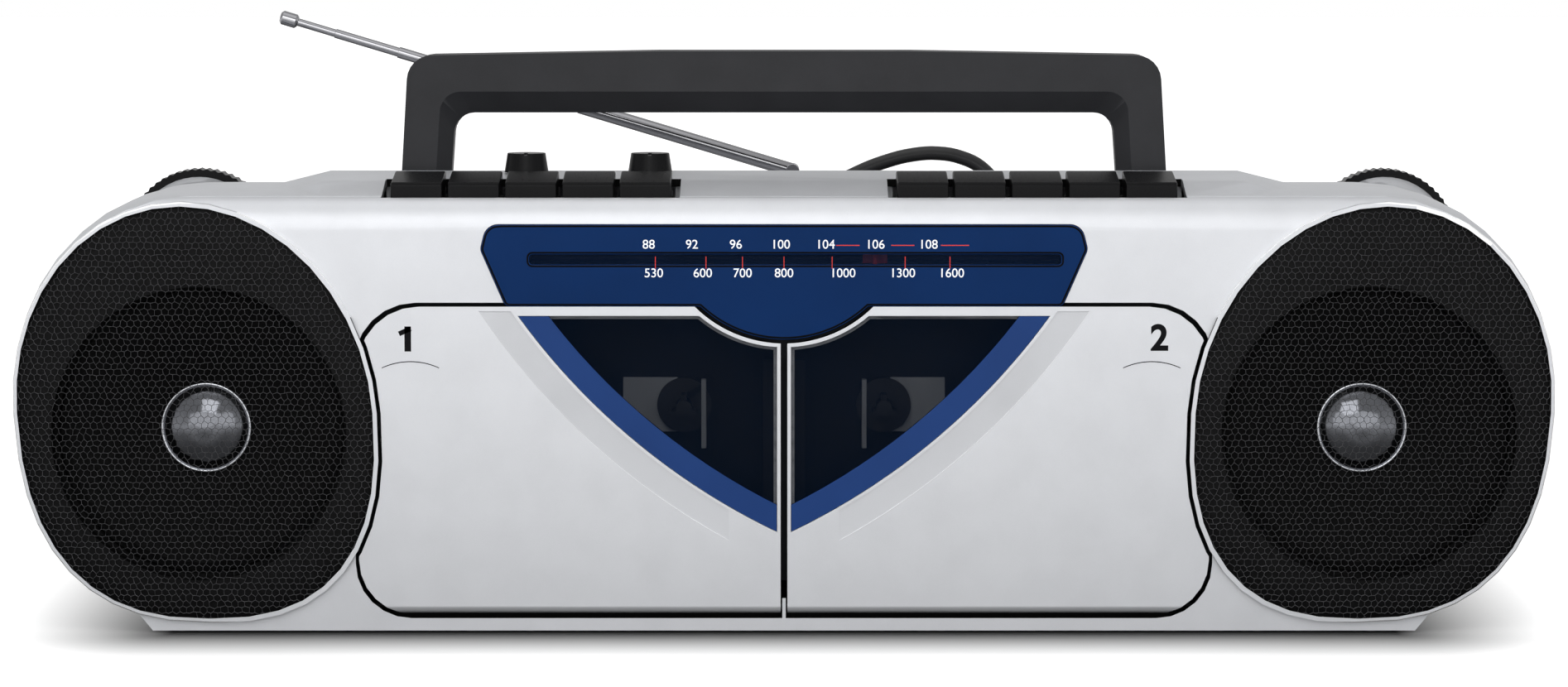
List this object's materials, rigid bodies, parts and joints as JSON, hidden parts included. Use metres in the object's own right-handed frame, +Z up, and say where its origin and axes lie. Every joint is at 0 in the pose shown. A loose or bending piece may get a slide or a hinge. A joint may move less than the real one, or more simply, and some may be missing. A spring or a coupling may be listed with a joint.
{
  "type": "dual cassette boombox",
  "caption": "Wide portable radio and double cassette recorder with rounded speaker ends, piano keys on a raised deck, a folding handle and a telescopic antenna.",
  "frame": {"origin": "on the floor under the middle of the cabinet", "axes": "+X to the right seen from the front, +Y to the rear, +Z up"},
  "size_m": [0.504, 0.2392, 0.2],
  "materials": {
    "silver_plastic": "satin silver",
    "black_rubber": "matte black",
    "steel": "plain",
    "grille_black": "matte black",
    "cone_grey": "paper cone",
    "dial_blue": "tinted clear plastic",
    "window_navy": "smoked clear plastic",
    "dial_navy": "printed plate",
    "pointer_red": "red",
    "black_plastic": "black",
    "charcoal_plastic": "charcoal",
    "grey_plastic": "plain",
    "board_green": "laminate",
    "contact_brass": "plated",
    "chrome": "polished"
  },
  "bodies": {
    "cabinet": {"front_cabinet": "silver_plastic", "rear_cabinet": "silver_plastic", "rubber_feet": "black_rubber", "drive_belt": "black_rubber", "lead_grommet": "black_rubber", "mains_lead": "black_rubber", "lead_coil": "black_rubber", "mains_plug": "black_rubber", "case_screws": "steel", "door_hinge_rod": "steel", "key_axles": "steel", "deck_chassis": "steel", "deck_posts": "steel", "motor": "steel", "tape_heads": "steel", "speaker_frames": "steel", "transformer": "steel", "grille_left": "grille_black", "grille_right": "grille_black", "dial_lens": "dial_blue", "dial_plate": "dial_navy", "control_pots": "grey_plastic", "main_board": "board_green", "battery_contacts": "contact_brass"},
    "left_door": {"door_left": "silver_plastic", "window_left": "window_navy", "tape_holder_left": "charcoal_plastic"},
    "right_door": {"door_right": "silver_plastic", "window_right": "window_navy", "tape_holder_right": "charcoal_plastic"},
    "handle_body": {"handle": "charcoal_plastic"},
    "antenna_base": {"antenna_swivel": "chrome"},
    "antenna_outer": {"antenna_mast": "chrome"},
    "antenna_middle": {"antenna_tube_2": "chrome"},
    "antenna_inner": {"antenna_tube_3": "chrome"},
    "hatch": {"battery_door": "silver_plastic"},
    "cone_left": {"speaker_cone_left": "cone_grey"},
    "cone_right": {"speaker_cone_right": "cone_grey"},
    "pointer": {"dial_pointer": "pointer_red"},
    "tuning": {"tuning_wheel": "black_plastic"},
    "volume": {"volume_wheel": "black_plastic"},
    "function": {"function_knob": "black_plastic"},
    "band": {"band_knob": "black_plastic"},
    "flywheel_left": {"capstan_left": "steel"},
    "flywheel_right": {"capstan_right": "steel"},
    "pulley": {"motor_pulley": "contact_brass"},
    "key_left_1_body": {"key_left_1": "black_plastic"},
    "key_left_2_body": {"key_left_2": "black_plastic"},
    "key_left_3_body": {"key_left_3": "black_plastic"},
    "key_left_4_body": {"key_left_4": "black_plastic"},
    "key_left_5_body": {"key_left_5": "black_plastic"},
    "key_right_1_body": {"key_right_1": "black_plastic"},
    "key_right_2_body": {"key_right_2": "black_plastic"},
    "key_right_3_body": {"key_right_3": "black_plastic"},
    "key_right_4_body": {"key_right_4": "black_plastic"},
    "key_right_5_body": {"key_right_5": "black_plastic"},
    "reel_left_outer_body": {"reel_left_outer": "grey_plastic"},
    "reel_left_inner_body": {"reel_left_inner": "grey_plastic"},
    "reel_right_inner_body": {"reel_right_inner": "grey_plastic"},
    "reel_right_outer_body": {"reel_right_outer": "grey_plastic"}
  },
  "joints": [
    {"name": "left_door_open", "type": "hinge", "parent": "cabinet", "child": "left_door", "pos_m": [-0.06, -0.065, 0.0089], "axis": [1, 0, 0], "range_deg": [0, 32]},
    {"name": "right_door_open", "type": "hinge", "parent": "cabinet", "child": "right_door", "pos_m": [0.06, -0.065, 0.0089], "axis": [1, 0, 0], "range_deg": [0, 32]},
    {"name": "key_left_1_press", "type": "hinge", "parent": "cabinet", "child": "key_left_1_body", "pos_m": [-0.1196, -0.0297, 0.138], "axis": [1, 0, 0], "range_deg": [0, 7], "stiffness_Nm_per_rad": 0.4, "springref_deg": -5.73},
    {"name": "key_left_2_press", "type": "hinge", "parent": "cabinet", "child": "key_left_2_body", "pos_m": [-0.101, -0.0297, 0.138], "axis": [1, 0, 0], "range_deg": [0, 7], "stiffness_Nm_per_rad": 0.4, "springref_deg": -5.73},
    {"name": "key_left_3_press", "type": "hinge", "parent": "cabinet", "child": "key_left_3_body", "pos_m": [-0.0824, -0.0297, 0.138], "axis": [1, 0, 0], "range_deg": [0, 7], "stiffness_Nm_per_rad": 0.4, "springref_deg": -5.73},
    {"name": "key_left_4_press", "type": "hinge", "parent": "cabinet", "child": "key_left_4_body", "pos_m": [-0.0638, -0.0297, 0.138], "axis": [1, 0, 0], "range_deg": [0, 7], "stiffness_Nm_per_rad": 0.4, "springref_deg": -5.73},
    {"name": "key_left_5_press", "type": "hinge", "parent": "cabinet", "child": "key_left_5_body", "pos_m": [-0.0452, -0.0297, 0.138], "axis": [1, 0, 0], "range_deg": [0, 7], "stiffness_Nm_per_rad": 0.4, "springref_deg": -5.73},
    {"name": "key_right_1_press", "type": "hinge", "parent": "cabinet", "child": "key_right_1_body", "pos_m": [0.0452, -0.0297, 0.138], "axis": [1, 0, 0], "range_deg": [0, 7], "stiffness_Nm_per_rad": 0.4, "springref_deg": -5.73},
    {"name": "key_right_2_press", "type": "hinge", "parent": "cabinet", "child": "key_right_2_body", "pos_m": [0.0638, -0.0297, 0.138], "axis": [1, 0, 0], "range_deg": [0, 7], "stiffness_Nm_per_rad": 0.4, "springref_deg": -5.73},
    {"name": "key_right_3_press", "type": "hinge", "parent": "cabinet", "child": "key_right_3_body", "pos_m": [0.0824, -0.0297, 0.138], "axis": [1, 0, 0], "range_deg": [0, 7], "stiffness_Nm_per_rad": 0.4, "springref_deg": -5.73},
    {"name": "key_right_4_press", "type": "hinge", "parent": "cabinet", "child": "key_right_4_body", "pos_m": [0.101, -0.0297, 0.138], "axis": [1, 0, 0], "range_deg": [0, 7], "stiffness_Nm_per_rad": 0.4, "springref_deg": -5.73},
    {"name": "key_right_5_press", "type": "hinge", "parent": "cabinet", "child": "key_right_5_body", "pos_m": [0.1196, -0.0297, 0.138], "axis": [1, 0, 0], "range_deg": [0, 7], "stiffness_Nm_per_rad": 0.4, "springref_deg": -5.73},
    {"name": "handle_fold", "type": "hinge", "parent": "cabinet", "child": "handle_body", "pos_m": [0, 0.003, 0.138], "axis": [-1, 0, 0], "range_deg": [0, 90]},
    {"name": "antenna_turn", "type": "hinge", "parent": "cabinet", "child": "antenna_base", "pos_m": [0.003, 0.061, 0.1441], "axis": [0, 0, -1], "range_deg": [0, 180]},
    {"name": "antenna_tilt", "type": "hinge", "parent": "antenna_base", "child": "antenna_outer", "pos_m": [0.003, 0.061, 0.1441], "axis": [0, 1, 0], "range_deg": [-16.7, 73.3]},
    {"name": "antenna_middle_slide", "type": "slide", "parent": "antenna_outer", "child": "antenna_middle", "axis": [-0.9578, 0, 0.2874], "range_m": [-0.06, 0.002]},
    {"name": "antenna_inner_slide", "type": "slide", "parent": "antenna_middle", "child": "antenna_inner", "axis": [-0.9578, 0, 0.2874], "range_m": [-0.02, 0.04]},
    {"name": "hatch_open", "type": "hinge", "parent": "cabinet", "child": "hatch", "pos_m": [-0.103, 0.0686, 0.0192], "axis": [-1, 0, 0], "range_deg": [0, 75]},
    {"name": "cone_left_travel", "type": "slide", "parent": "cabinet", "child": "cone_left", "axis": [0, -1, 0], "range_m": [-0.0012, 0.0012], "stiffness_N_per_m": 2000},
    {"name": "cone_right_travel", "type": "slide", "parent": "cabinet", "child": "cone_right", "axis": [0, -1, 0], "range_m": [-0.0012, 0.0012], "stiffness_N_per_m": 2000},
    {"name": "tuning_turn", "type": "hinge", "parent": "cabinet", "child": "tuning", "pos_m": [0.2073, 0.04, 0.1205], "axis": [0, 1, 0], "range_deg": [-194.8, 74.4]},
    {"name": "pointer_slide", "type": "slide", "parent": "cabinet", "child": "pointer", "axis": [1, 0, 0], "range_m": [-0.0796, 0.0304]},
    {"name": "volume_turn", "type": "hinge", "parent": "cabinet", "child": "volume", "pos_m": [-0.202, 0.04, 0.1205], "axis": [0, 1, 0], "range_deg": [-150, 150]},
    {"name": "function_turn", "type": "hinge", "parent": "cabinet", "child": "function", "pos_m": [-0.0858, -0.0207, 0.148], "axis": [0, 0, 1], "range_deg": [-30, 30]},
    {"name": "band_turn", "type": "hinge", "parent": "cabinet", "child": "band", "pos_m": [-0.0446, -0.0207, 0.148], "axis": [0, 0, 1], "range_deg": [-30, 30]},
    {"name": "reel_left_outer_spin", "type": "hinge", "parent": "cabinet", "child": "reel_left_outer_body", "pos_m": [-0.07525, -0.05, 0.0727], "axis": [0, 1, 0], "continuous": true},
    {"name": "reel_left_inner_spin", "type": "hinge", "parent": "cabinet", "child": "reel_left_inner_body", "pos_m": [-0.03275, -0.05, 0.0727], "axis": [0, 1, 0], "continuous": true},
    {"name": "reel_right_inner_spin", "type": "hinge", "parent": "cabinet", "child": "reel_right_inner_body", "pos_m": [0.03275, -0.05, 0.0727], "axis": [0, 1, 0], "continuous": true},
    {"name": "reel_right_outer_spin", "type": "hinge", "parent": "cabinet", "child": "reel_right_outer_body", "pos_m": [0.07525, -0.05, 0.0727], "axis": [0, 1, 0], "continuous": true},
    {"name": "flywheel_left_spin", "type": "hinge", "parent": "cabinet", "child": "flywheel_left", "pos_m": [-0.036, -0.04, 0.0451], "axis": [0, 1, 0], "continuous": true},
    {"name": "flywheel_right_spin", "type": "hinge", "parent": "cabinet", "child": "flywheel_right", "pos_m": [0.036, -0.04, 0.0451], "axis": [0, 1, 0], "continuous": true},
    {"name": "pulley_spin", "type": "hinge", "parent": "cabinet", "child": "pulley", "pos_m": [0, -0.026, 0.088], "axis": [0, 1, 0], "continuous": true}
  ],
  "couplings": [
    {"joint": "pointer_slide", "follows": "tuning_turn", "m_per_rad": 0.0234},
    {"joint": "flywheel_right_spin", "follows": "flywheel_left_spin", "ratio": 1},
    {"joint": "pulley_spin", "follows": "flywheel_left_spin", "ratio": 5.5714}
  ]
}
